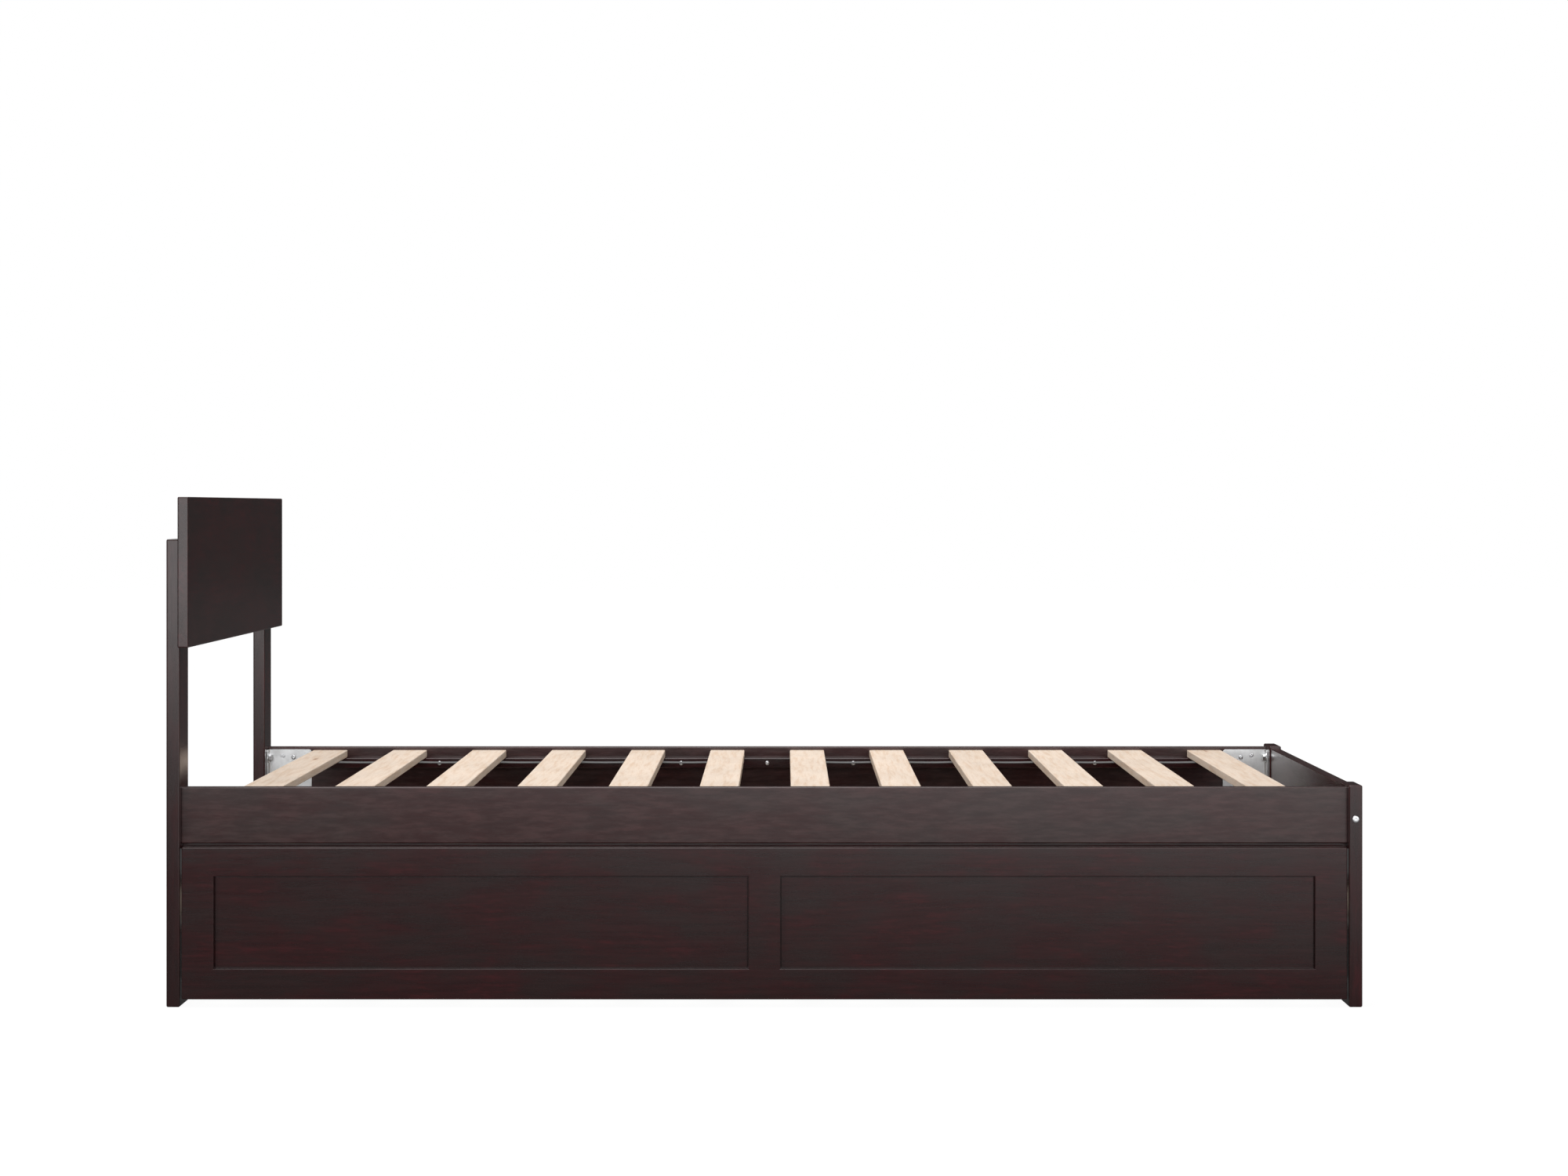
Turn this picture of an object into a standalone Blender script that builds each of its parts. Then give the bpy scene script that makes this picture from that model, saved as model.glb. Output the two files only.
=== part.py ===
"""Low platform bed with a pull-out trundle, built as separate boards, slats, brackets and casters.

The head is at -X, the foot at +X, the trundle pulls out towards -Y, and +Z is up.
The origin is on the floor under the middle of the bed. All sizes are in metres.
"""

import math

import bmesh
import bpy
from mathutils import Matrix, Vector

# Overall
LENGTH = 2.1075  # over the outer faces of the head and foot posts
WIDTH = 1.058  # over the front and rear faces of the posts
TOUCH = 0.0003  # gap kept between pieces that touch
EDGE_ROUND = 0.0025  # eased edges of the stained boards
FINE_ROUND = 0.0012  # eased edges of thin or hidden boards

# Posts
POST_THICK = 0.024
POST_DEPTH = 0.086
HEAD_POST_DROP = 0.0745  # head post tops below the headboard's top
FOOT_POST_RISE = 0.0045  # foot post tops above the rail tops

# Headboard panel, fixed to the mattress side of the head posts
HEADBOARD_TOP = 0.899
HEADBOARD_HEIGHT = 0.265
HEADBOARD_THICK = 0.019
HEADBOARD_OVERHANG = 0.0254  # past the posts, each side

# Counterbored bolts that hold the headboard panel from behind
HEADBOARD_BOLT_HEAD_BORE = 0.014
HEADBOARD_BOLT_SINK = 0.004
HEADBOARD_BOLT_EDGE = 0.045  # bolt centre to the nearer end of the lapped height

# Side and foot rails
RAIL_TOP = 0.3865
RAIL_HEIGHT = 0.110
RAIL_THICK = 0.020
RAIL_REBATE_HEIGHT = 0.010  # along the lower outer edge, over the top of the trundle front
RAIL_REBATE_DEPTH = 0.013
RAIL_SETBACK = 0.018  # from the posts' outer faces
FOOT_RAIL_HEIGHT = 0.110
FOOT_RAIL_THICK = 0.019

# Foot rail bolts
BOLT_DIAMETER = 0.006
BOLT_BORE = 0.0068
BOLT_HEAD_DIAMETER = 0.013
BOLT_HEAD_HEIGHT = 0.0018
BOLT_REACH = 0.040  # into the end of the foot rail
BOLT_END_SPACE = 0.003  # bore left past the bolt's end

# Slats and the cleats that carry them
SLAT_COUNT = 12
ROLL_COUNT = 2  # rolls of joined slats
SLAT_WIDTH = 0.0705
SLAT_THICK = 0.015
SLAT_DROP = 0.0065  # slat tops below the rail tops
SLAT_ROUND = 0.002
SLAT_END_CLEARANCE = 0.0025
CLEAT_HEIGHT = 0.020
CLEAT_DEPTH = 0.025

# Webbing straps under the slats
STRAP_WIDTH = 0.036
STRAP_THICK = 0.0015
STRAP_INSET = 0.120  # strap centre from the slat ends
STRAP_BITE = 0.0005  # how far a trundle strap runs into its slats to join them

# Steel corner brackets
BRACKET_LENGTH = 0.0894  # along the rail
BRACKET_FLANGE = 0.026  # along the post
BRACKET_THICK = 0.002
BRACKET_DROP = 0.005  # bracket top below the rail top
BRACKET_LIFT = 0.015  # bracket bottom above the rail bottom
BRACKET_CORNER = 0.006
BRACKET_HOLE = 0.0075
BRACKET_HOLES = ((0.030, 0.013), (0.052, 0.0165))  # from the post, and from the top or bottom edge
BRACKET_CLEAT_CLEARANCE = 0.002

# Trundle front: stiles, rails and a mullion around two recessed panels
FRONT_BOTTOM = 0.0139
FRONT_TOP_CLEARANCE = 0.0043  # its top below the rebate in the side rails
FRONT_THICK = 0.019
FRONT_END_GAP = 0.0034  # each end, to the posts
FRONT_RAIL_GAP = 0.0015  # behind it, to the front side rail
STILE_WIDTH = 0.0565
MULLION_WIDTH = 0.056
FRONT_TOP_RAIL = 0.0515
FRONT_BOTTOM_RAIL = 0.054
RECESS_DEPTH = 0.009
FRONT_PANEL_THICK = 0.005
GROOVE_DEPTH = 0.007

# Trundle box
BOX_AXLE_CLEARANCE = 0.008  # box bottom above the caster axles
BOX_HEIGHT = 0.085
BOX_THICK = 0.019
BOX_END_INSET = 0.012  # end boards in from the ends of the front
BOX_BACK_SETBACK = 0.010  # box back in from the rear side rail's outer face
BOX_SLAT_DROP = 0.021  # slat tops below the box top
BOX_CLEAT_HEIGHT = 0.018
BOX_CLEAT_DEPTH = 0.020

# Fixed casters, wheels rolling along Y
WHEEL_DIAMETER = 0.050
WHEEL_WIDTH = 0.020
WHEEL_ROUND = 0.003
WHEEL_SIDE_CLEARANCE = 0.001
WHEEL_TOP_CLEARANCE = 0.004
AXLE_DIAMETER = 0.006
AXLE_CLEARANCE = 0.00015  # radial
AXLE_END = 0.0015  # axle past each cheek
HOUSING_WALL = 0.003
HOUSING_LENGTH = 0.050
HOUSING_BELOW_AXLE = 0.009
CASTER_INSET = 0.120  # axle from the inside of the front and back boards

ROUND_STEPS = 32

# Derived places
OUTER_X = LENGTH / 2
INNER_X = OUTER_X - POST_THICK
OUTER_Y = WIDTH / 2
POST_INNER_Y = OUTER_Y - POST_DEPTH
RAIL_OUTER_Y = OUTER_Y - RAIL_SETBACK
RAIL_INNER_Y = RAIL_OUTER_Y - RAIL_THICK
RAIL_BOTTOM = RAIL_TOP - RAIL_HEIGHT
HEAD_POST_HEIGHT = HEADBOARD_TOP - HEAD_POST_DROP
FOOT_POST_HEIGHT = RAIL_TOP + FOOT_POST_RISE
SLAT_TOP = RAIL_TOP - SLAT_DROP
CLEAT_TOP = SLAT_TOP - SLAT_THICK - TOUCH
BRACKET_TOP = RAIL_TOP - BRACKET_DROP
BRACKET_BOTTOM = RAIL_BOTTOM + BRACKET_LIFT
BRACKET_HEIGHT = BRACKET_TOP - BRACKET_BOTTOM
HEADBOARD_BOTTOM = HEADBOARD_TOP - HEADBOARD_HEIGHT

FRONT_BACK_Y = -RAIL_OUTER_Y - FRONT_RAIL_GAP
FRONT_FACE_Y = FRONT_BACK_Y - FRONT_THICK
FRONT_END_X = INNER_X - FRONT_END_GAP
FRONT_TOP = RAIL_BOTTOM + RAIL_REBATE_HEIGHT - FRONT_TOP_CLEARANCE
BOX_FRONT_Y = FRONT_BACK_Y + TOUCH
BOX_INSIDE_FRONT_Y = BOX_FRONT_Y + BOX_THICK
BOX_BACK_Y = RAIL_OUTER_Y - BOX_BACK_SETBACK
BOX_INSIDE_BACK_Y = BOX_BACK_Y - BOX_THICK
BOX_END_X = FRONT_END_X - BOX_END_INSET
BOX_INSIDE_X = BOX_END_X - BOX_THICK
WHEEL_RADIUS = WHEEL_DIAMETER / 2
BOX_BOTTOM = WHEEL_RADIUS + AXLE_DIAMETER / 2 + BOX_AXLE_CLEARANCE
BOX_SLAT_TOP = BOX_BOTTOM + BOX_HEIGHT - BOX_SLAT_DROP

ENDS = {"head": -1, "foot": 1}
SIDES = {"front": -1, "rear": 1}


def clear_scene():
    for item in list(bpy.data.objects):
        bpy.data.objects.remove(item, do_unlink=True)


def make_material(name, colour, roughness, metallic=0.0):
    material = bpy.data.materials.new(name)
    material.use_nodes = True
    shader = material.node_tree.nodes["Principled BSDF"]
    shader.inputs["Base Color"].default_value = (*colour, 1.0)
    shader.inputs["Roughness"].default_value = roughness
    shader.inputs["Metallic"].default_value = metallic
    material.diffuse_color = (*colour, 1.0)
    return material


def make_empty(name, place=(0, 0, 0), parent=None):
    empty = bpy.data.objects.new(name, None)
    bpy.context.collection.objects.link(empty)
    empty.location = place
    empty.parent = parent
    return empty


def add_object(name, shape, place, material, parent):
    """Turn a bmesh built around its own origin into an object at a place in the bed's frame."""
    bmesh.ops.recalc_face_normals(shape, faces=shape.faces)
    mesh = bpy.data.meshes.new(name)
    shape.to_mesh(mesh)
    shape.free()
    mesh.materials.append(material)
    item = bpy.data.objects.new(name, mesh)
    bpy.context.collection.objects.link(item)
    item.parent = parent
    offset = Vector(parent.location) if parent else Vector((0, 0, 0))
    item.location = Vector(place) - offset
    return item


def box_shape(size, rounding=0.0, steps=2):
    shape = bmesh.new()
    bmesh.ops.create_cube(shape, size=1.0, matrix=Matrix.Diagonal((*size, 1.0)))
    if rounding > 0:
        bmesh.ops.bevel(shape, geom=shape.edges[:], offset=rounding, offset_type="OFFSET",
                        segments=steps, profile=0.5, affect="EDGES", clamp_overlap=True)
    return shape


def board(name, x, y, z, material, parent, rounding=EDGE_ROUND):
    """A board that fills the given (low, high) spans."""
    spans = [sorted(span) for span in (x, y, z)]
    size = [high - low for low, high in spans]
    centre = [(high + low) / 2 for low, high in spans]
    return add_object(name, box_shape(size, rounding), centre, material, parent)


def round_shape(radius, length, axis, steps=ROUND_STEPS, rounding=0.0):
    """A closed cylinder along X, Y or Z with optionally eased rims."""
    shape = bmesh.new()
    turn = {"X": Matrix.Rotation(math.pi / 2, 4, "Y"),
            "Y": Matrix.Rotation(math.pi / 2, 4, "X"),
            "Z": Matrix.Identity(4)}[axis]
    bmesh.ops.create_cone(shape, cap_ends=True, segments=steps, radius1=radius,
                          radius2=radius, depth=length, matrix=turn)
    if rounding > 0:
        rims = [edge for edge in shape.edges if any(len(face.verts) > 4 for face in edge.link_faces)]
        bmesh.ops.bevel(shape, geom=rims, offset=rounding, offset_type="OFFSET",
                        segments=2, profile=0.5, affect="EDGES")
    return shape


def shade_round(item):
    item.data.shade_smooth()
    item.data.set_sharp_from_angle(angle=math.radians(35))


def as_cutter(item):
    item.hide_render = True
    item.display_type = "WIRE"
    return item


def apply_boolean(item, other, operation="DIFFERENCE"):
    modifier = item.modifiers.new(other.name, "BOOLEAN")
    modifier.operation = operation
    modifier.solver = "EXACT"
    modifier.object = other
    as_cutter(other)


def drill(item, name, diameter, length, axis, place, parent, steps=24):
    """Cut one round hole whose middle is at place."""
    hole = add_object(name, round_shape(diameter / 2, length, axis, steps), place, None, parent)
    apply_boolean(item, hole)


def bolt_height():
    return RAIL_TOP - FOOT_RAIL_HEIGHT / 2


def headboard_bolt_heights():
    """Where the headboard bolts cross the posts: near the ends of the height that laps the panel."""
    return (HEADBOARD_BOTTOM + HEADBOARD_BOLT_EDGE, HEAD_POST_HEIGHT - HEADBOARD_BOLT_EDGE)


def build_posts(wood, bed):
    for side, across in SIDES.items():
        y = (across * OUTER_Y, across * POST_INNER_Y)
        head = board(f"head_post_{side}", (-OUTER_X, -INNER_X), y, (0, HEAD_POST_HEIGHT), wood, bed)
        for level, height in enumerate(headboard_bolt_heights()):
            drill(head, f"cut_head_{side}_{level}", HEADBOARD_BOLT_HEAD_BORE,
                  2 * HEADBOARD_BOLT_SINK, "X",
                  (-OUTER_X, across * (OUTER_Y - POST_DEPTH / 2), height), bed)
        foot = board(f"foot_post_{side}", (INNER_X, OUTER_X), y, (0, FOOT_POST_HEIGHT), wood, bed)
        drill(foot, f"cut_foot_{side}", BOLT_BORE, POST_DEPTH * 1.5, "Y",
              (OUTER_X - POST_THICK / 2, across * (OUTER_Y - POST_DEPTH / 2), bolt_height()), bed)


def build_headboard(wood, bed):
    reach = OUTER_Y + HEADBOARD_OVERHANG
    face = -INNER_X + TOUCH
    board("headboard_panel", (face, face + HEADBOARD_THICK), (-reach, reach),
          (HEADBOARD_BOTTOM, HEADBOARD_TOP), wood, bed)


def build_foot_rail(wood, bed):
    reach = POST_INNER_Y - TOUCH
    middle = OUTER_X - POST_THICK / 2
    rail = board("foot_rail", (middle - FOOT_RAIL_THICK / 2, middle + FOOT_RAIL_THICK / 2),
                 (-reach, reach), (RAIL_TOP - FOOT_RAIL_HEIGHT, RAIL_TOP), wood, bed)
    depth = BOLT_REACH + BOLT_END_SPACE
    for side, across in SIDES.items():
        drill(rail, f"cut_foot_rail_{side}", BOLT_BORE, 2 * depth, "Y",
              (middle, across * reach, bolt_height()), bed)


def build_foot_bolts(metal, bed):
    """One bolt a side: a low head on the post's outer face and a shank into the foot rail's end."""
    for side, across in SIDES.items():
        shank_end = POST_INNER_Y - TOUCH - BOLT_REACH
        head_face = OUTER_Y + TOUCH
        profile = [(0, head_face + BOLT_HEAD_HEIGHT),
                   (BOLT_HEAD_DIAMETER / 2 - BOLT_HEAD_HEIGHT / 2, head_face + BOLT_HEAD_HEIGHT),
                   (BOLT_HEAD_DIAMETER / 2, head_face + BOLT_HEAD_HEIGHT / 2),
                   (BOLT_HEAD_DIAMETER / 2, head_face),
                   (BOLT_DIAMETER / 2, head_face),
                   (BOLT_DIAMETER / 2, shank_end),
                   (0, shank_end)]
        bolt = add_object(f"foot_bolt_{side}", turned_shape(profile, across, 24),
                          (OUTER_X - POST_THICK / 2, 0, bolt_height()), metal, bed)
        shade_round(bolt)


def turned_shape(profile, across, steps):
    """Spin (radius, distance) points about the Y axis; across mirrors the distances."""
    shape = bmesh.new()
    rings = []
    for radius, along in profile:
        if radius == 0:
            rings.append([shape.verts.new((0, across * along, 0))])
            continue
        rings.append([shape.verts.new((radius * math.cos(2 * math.pi * step / steps), across * along,
                                       radius * math.sin(2 * math.pi * step / steps)))
                      for step in range(steps)])
    for one, two in zip(rings, rings[1:]):
        for step in range(steps):
            after = (step + 1) % steps
            corners = [one[step % len(one)], one[after % len(one)],
                       two[after % len(two)], two[step % len(two)]]
            unique = list(dict.fromkeys(corners))
            shape.faces.new(unique)
    return shape


def build_side_rails(wood, bed):
    reach = INNER_X - TOUCH
    cleat_reach = INNER_X - BRACKET_LENGTH - BRACKET_CLEAT_CLEARANCE
    for side, across in SIDES.items():
        rail = board(f"side_rail_{side}", (-reach, reach), (across * RAIL_INNER_Y, across * RAIL_OUTER_Y),
                     (RAIL_BOTTOM, RAIL_TOP), wood, bed)
        rebate = board(f"cut_rebate_{side}", (-INNER_X, INNER_X),
                       (across * (RAIL_OUTER_Y - RAIL_REBATE_DEPTH), across * (RAIL_OUTER_Y + TOUCH)),
                       (RAIL_BOTTOM - TOUCH, RAIL_BOTTOM + RAIL_REBATE_HEIGHT), None, bed, 0.0)
        apply_boolean(rail, rebate)
        face = RAIL_INNER_Y - TOUCH
        board(f"slat_cleat_{side}", (-cleat_reach, cleat_reach),
              (across * (face - CLEAT_DEPTH), across * face),
              (CLEAT_TOP - CLEAT_HEIGHT, CLEAT_TOP), wood, bed, FINE_ROUND)


def slat_lefts(count, inside):
    """Left edges of slats spread evenly over an inside length, with the same gap at both ends."""
    gap = (2 * inside - count * SLAT_WIDTH) / (count + 1)
    return [-inside + gap + index * (SLAT_WIDTH + gap) for index in range(count)]


def build_bed_slats(slat_wood, webbing, bed):
    lefts = slat_lefts(SLAT_COUNT, INNER_X)
    reach = RAIL_INNER_Y - SLAT_END_CLEARANCE
    for index, left in enumerate(lefts):
        board(f"slat_{index + 1:02d}", (left, left + SLAT_WIDTH), (-reach, reach),
              (SLAT_TOP - SLAT_THICK, SLAT_TOP), slat_wood, bed, SLAT_ROUND)
    per_roll = SLAT_COUNT // ROLL_COUNT
    top = SLAT_TOP - SLAT_THICK - TOUCH
    for number, end in enumerate(ENDS):
        first = lefts[number * per_roll]
        last = lefts[(number + 1) * per_roll - 1] + SLAT_WIDTH
        for side, across in SIDES.items():
            middle = across * (reach - STRAP_INSET)
            board(f"slat_strap_{end}_{side}", (first, last),
                  (middle - STRAP_WIDTH / 2, middle + STRAP_WIDTH / 2),
                  (top - STRAP_THICK, top), webbing, bed, 0.0)


def bracket_shape(along, across):
    """An angle plate: the long leg on the rail, the short leg on the post, free corners rounded."""
    shape = bmesh.new()
    thick, height = BRACKET_THICK, BRACKET_HEIGHT
    outline = [(0, 0), (BRACKET_LENGTH, 0), (BRACKET_LENGTH, thick), (thick, thick),
               (thick, BRACKET_FLANGE), (0, BRACKET_FLANGE)]
    low = [shape.verts.new((-along * x, -across * y, -height / 2)) for x, y in outline]
    high = [shape.verts.new((-along * x, -across * y, height / 2)) for x, y in outline]
    shape.faces.new(low)
    shape.faces.new(high)
    count = len(outline)
    for index in range(count):
        after = (index + 1) % count
        shape.faces.new((low[index], low[after], high[after], high[index]))
    bmesh.ops.recalc_face_normals(shape, faces=shape.faces)
    corners = []
    for edge in shape.edges:
        one, two = (vert.co for vert in edge.verts)
        flat = abs(one.z - two.z) < 1e-6
        thin = (one - two).length < thick * 1.01
        free_end = abs(abs(one.x) - BRACKET_LENGTH) < 1e-6 or abs(abs(one.y) - BRACKET_FLANGE) < 1e-6
        if flat and thin and free_end:
            corners.append(edge)
    bmesh.ops.bevel(shape, geom=corners, offset=BRACKET_CORNER, offset_type="OFFSET",
                    segments=4, profile=0.5, affect="EDGES")
    return shape


def build_brackets(steel, bed):
    middle = (BRACKET_TOP + BRACKET_BOTTOM) / 2
    for end, along in ENDS.items():
        for side, across in SIDES.items():
            corner = (along * (INNER_X - TOUCH), across * (RAIL_INNER_Y - TOUCH), middle)
            bracket = add_object(f"bracket_{end}_{side}", bracket_shape(along, across), corner, steel, bed)
            for column, (out, edge) in enumerate(BRACKET_HOLES):
                for row, height in enumerate((BRACKET_BOTTOM + edge, BRACKET_TOP - edge)):
                    place = (corner[0] - along * out, corner[1] - across * BRACKET_THICK / 2, height)
                    drill(bracket, f"cut_bracket_{end}_{side}_{column}{row}", BRACKET_HOLE,
                          BRACKET_THICK * 3, "Y", place, bed, 16)


def panel_spans():
    """The see-through width and height of each recess in the trundle front."""
    inner = FRONT_END_X - STILE_WIDTH
    half_mullion = MULLION_WIDTH / 2
    low, high = FRONT_BOTTOM + FRONT_BOTTOM_RAIL, FRONT_TOP - FRONT_TOP_RAIL
    return {"head": ((-inner, -half_mullion), (low, high)),
            "foot": ((half_mullion, inner), (low, high))}


def build_front(wood, trundle):
    depth = (FRONT_FACE_Y, FRONT_BACK_Y)
    inner = FRONT_END_X - STILE_WIDTH
    low, high = FRONT_BOTTOM + FRONT_BOTTOM_RAIL, FRONT_TOP - FRONT_TOP_RAIL
    members = {end: board(f"front_stile_{end}", (along * inner, along * FRONT_END_X), depth,
                          (FRONT_BOTTOM, FRONT_TOP), wood, trundle, FINE_ROUND)
               for end, along in ENDS.items()}
    reach = inner - TOUCH
    top = board("front_top_rail", (-reach, reach), depth, (high, FRONT_TOP), wood, trundle, FINE_ROUND)
    bottom = board("front_bottom_rail", (-reach, reach), depth, (FRONT_BOTTOM, low), wood, trundle,
                   FINE_ROUND)
    mullion = board("front_mullion", (-MULLION_WIDTH / 2, MULLION_WIDTH / 2), depth,
                    (low + TOUCH, high - TOUCH), wood, trundle, FINE_ROUND)
    panel_face = FRONT_FACE_Y + RECESS_DEPTH
    for end, ((left, right), (under, over)) in panel_spans().items():
        grow = GROOVE_DEPTH - TOUCH
        board(f"front_panel_{end}", (left - grow, right + grow), (panel_face, panel_face + FRONT_PANEL_THICK),
              (under - grow, over + grow), wood, trundle, 0.0)
        groove = board(f"cut_groove_{end}", (left - GROOVE_DEPTH, right + GROOVE_DEPTH),
                       (panel_face - TOUCH, panel_face + FRONT_PANEL_THICK + TOUCH),
                       (under - GROOVE_DEPTH, over + GROOVE_DEPTH), None, trundle, 0.0)
        for member in (members[end], top, bottom, mullion):
            apply_boolean(member, groove)


def build_box(wood, trundle):
    z = (BOX_BOTTOM, BOX_BOTTOM + BOX_HEIGHT)
    board("trundle_front_board", (-BOX_END_X, BOX_END_X), (BOX_FRONT_Y, BOX_INSIDE_FRONT_Y), z,
          wood, trundle, FINE_ROUND)
    board("trundle_back_board", (-BOX_END_X, BOX_END_X), (BOX_INSIDE_BACK_Y, BOX_BACK_Y), z,
          wood, trundle, EDGE_ROUND)
    for end, along in ENDS.items():
        board(f"trundle_end_board_{end}", (along * BOX_INSIDE_X, along * BOX_END_X),
              (BOX_INSIDE_FRONT_Y + TOUCH, BOX_INSIDE_BACK_Y - TOUCH), z, wood, trundle, EDGE_ROUND)
    top = BOX_SLAT_TOP - SLAT_THICK - TOUCH
    reach = BOX_INSIDE_X - TOUCH
    spans = {"front": (BOX_INSIDE_FRONT_Y + TOUCH, BOX_INSIDE_FRONT_Y + TOUCH + BOX_CLEAT_DEPTH),
             "rear": (BOX_INSIDE_BACK_Y - TOUCH - BOX_CLEAT_DEPTH, BOX_INSIDE_BACK_Y - TOUCH)}
    for side, y in spans.items():
        board(f"trundle_cleat_{side}", (-reach, reach), y, (top - BOX_CLEAT_HEIGHT, top),
              wood, trundle, FINE_ROUND)


def slat_roll_shape(lefts, y, top):
    """The slats of one roll, as one mesh of separate rounded boards."""
    shape = bmesh.new()
    for left in lefts:
        one = box_shape((SLAT_WIDTH, y[1] - y[0], SLAT_THICK), SLAT_ROUND)
        one.transform(Matrix.Translation((left + SLAT_WIDTH / 2, (y[0] + y[1]) / 2, top - SLAT_THICK / 2)))
        mesh = bpy.data.meshes.new("slat")
        one.to_mesh(mesh)
        one.free()
        shape.from_mesh(mesh)
        bpy.data.meshes.remove(mesh)
    return shape


def build_trundle_slats(slat_wood, trundle):
    lefts = slat_lefts(SLAT_COUNT, BOX_INSIDE_X)
    y = (BOX_INSIDE_FRONT_Y + SLAT_END_CLEARANCE, BOX_INSIDE_BACK_Y - SLAT_END_CLEARANCE)
    per_roll = SLAT_COUNT // ROLL_COUNT
    under = BOX_SLAT_TOP - SLAT_THICK
    for number, end in enumerate(ENDS):
        own = lefts[number * per_roll:(number + 1) * per_roll]
        roll = add_object(f"trundle_slat_roll_{end}", slat_roll_shape(own, y, BOX_SLAT_TOP), (0, 0, 0),
                          slat_wood, trundle)
        margin = SLAT_ROUND + STRAP_THICK
        for side, middle in (("front", y[0] + STRAP_INSET), ("rear", y[1] - STRAP_INSET)):
            strap = board(f"cut_strap_{end}_{side}", (own[0] + margin, own[-1] + SLAT_WIDTH - margin),
                          (middle - STRAP_WIDTH / 2, middle + STRAP_WIDTH / 2),
                          (under - STRAP_THICK, under + STRAP_BITE), slat_wood, trundle, 0.0)
            apply_boolean(roll, strap, "UNION")


def housing_shape(inward):
    """A caster housing open below: two cheeks and a top web. inward points away from the end board."""
    gap = WHEEL_WIDTH + 2 * WHEEL_SIDE_CLEARANCE
    outer = gap / 2 + HOUSING_WALL
    low = -HOUSING_BELOW_AXLE
    roof = WHEEL_RADIUS + WHEEL_TOP_CLEARANCE
    outline = [(-outer, low), (-gap / 2, low), (-gap / 2, roof), (gap / 2, roof),
               (gap / 2, low), (outer, low), (outer, roof + HOUSING_WALL), (-outer, roof + HOUSING_WALL)]
    shape = bmesh.new()
    ends = [[shape.verts.new((inward * x, along, z)) for x, z in outline]
            for along in (-HOUSING_LENGTH / 2, HOUSING_LENGTH / 2)]
    for ring in ends:
        shape.faces.new(ring)
    count = len(outline)
    for index in range(count):
        after = (index + 1) % count
        shape.faces.new((ends[0][index], ends[0][after], ends[1][after], ends[1][index]))
    return shape


def build_casters(plastic, steel, rubber, trundle):
    half_gap = WHEEL_WIDTH / 2 + WHEEL_SIDE_CLEARANCE
    bore = AXLE_DIAMETER + 2 * AXLE_CLEARANCE
    rows = {"front": BOX_INSIDE_FRONT_Y + CASTER_INSET, "rear": BOX_INSIDE_BACK_Y - CASTER_INSET}
    for side, y in rows.items():
        for end, along in ENDS.items():
            x = along * (BOX_INSIDE_X - TOUCH - HOUSING_WALL - half_gap)
            place = (x, y, WHEEL_RADIUS)
            name = f"{side}_{end}"
            housing = add_object(f"caster_housing_{name}", housing_shape(-along), place, plastic, trundle)
            drill(housing, f"cut_axle_{name}", bore, 2 * (half_gap + 2 * HOUSING_WALL), "X", place, trundle)
            length = 2 * (half_gap + HOUSING_WALL + AXLE_END)
            axle = add_object(f"caster_axle_{name}", round_shape(AXLE_DIAMETER / 2, length, "X", 24),
                              place, steel, trundle)
            shade_round(axle)
            wheel = add_object(f"caster_wheel_{name}",
                               round_shape(WHEEL_RADIUS, WHEEL_WIDTH, "X", ROUND_STEPS, WHEEL_ROUND),
                               place, rubber, trundle)
            drill(wheel, f"cut_wheel_{name}", bore, WHEEL_WIDTH * 2, "X", place, trundle)
            shade_round(wheel)


def build():
    clear_scene()
    wood = make_material("espresso_wood", (0.050, 0.024, 0.018), 0.42)
    slat_wood = make_material("pale_slat_wood", (0.780, 0.660, 0.540), 0.60)
    webbing = make_material("grey_webbing", (0.090, 0.090, 0.095), 0.85)
    steel = make_material("zinc_plated_steel", (0.720, 0.730, 0.740), 0.35, 1.0)
    plastic = make_material("black_caster_plastic", (0.030, 0.030, 0.032), 0.45)
    rubber = make_material("caster_tread", (0.070, 0.070, 0.075), 0.60)

    bed = make_empty("bed_frame")
    trundle = make_empty("trundle_frame", (0, (FRONT_FACE_Y + BOX_BACK_Y) / 2, 0))

    build_posts(wood, bed)
    build_headboard(wood, bed)
    build_foot_rail(wood, bed)
    build_foot_bolts(steel, bed)
    build_side_rails(wood, bed)
    build_bed_slats(slat_wood, webbing, bed)
    build_brackets(steel, bed)
    build_front(wood, trundle)
    build_box(wood, trundle)
    build_trundle_slats(slat_wood, trundle)
    build_casters(plastic, steel, rubber, trundle)


build()
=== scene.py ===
import math
import random

import bmesh
import bpy
from mathutils import Matrix, Vector


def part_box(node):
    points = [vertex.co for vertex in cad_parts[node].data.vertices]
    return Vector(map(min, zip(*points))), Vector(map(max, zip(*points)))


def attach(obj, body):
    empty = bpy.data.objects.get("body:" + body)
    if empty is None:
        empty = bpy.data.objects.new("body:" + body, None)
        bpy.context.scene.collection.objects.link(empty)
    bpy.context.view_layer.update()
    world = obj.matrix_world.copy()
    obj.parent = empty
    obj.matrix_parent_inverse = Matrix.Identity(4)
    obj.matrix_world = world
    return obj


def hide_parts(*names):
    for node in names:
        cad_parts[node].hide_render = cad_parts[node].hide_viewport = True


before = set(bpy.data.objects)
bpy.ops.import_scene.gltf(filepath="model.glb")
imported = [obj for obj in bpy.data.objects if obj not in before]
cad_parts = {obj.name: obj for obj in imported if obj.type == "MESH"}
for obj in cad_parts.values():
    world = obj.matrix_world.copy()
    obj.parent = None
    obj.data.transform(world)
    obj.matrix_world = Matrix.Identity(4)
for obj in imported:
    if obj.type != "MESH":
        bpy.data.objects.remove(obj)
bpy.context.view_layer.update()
print("frame loaded with", len(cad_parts), "nodes")

gap = 0.0003  # air between touching boards in the frame
sides = {"front": -1, "rear": 1}
ends = {"head": -1, "foot": 1}
dice = random.Random(5)


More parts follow.
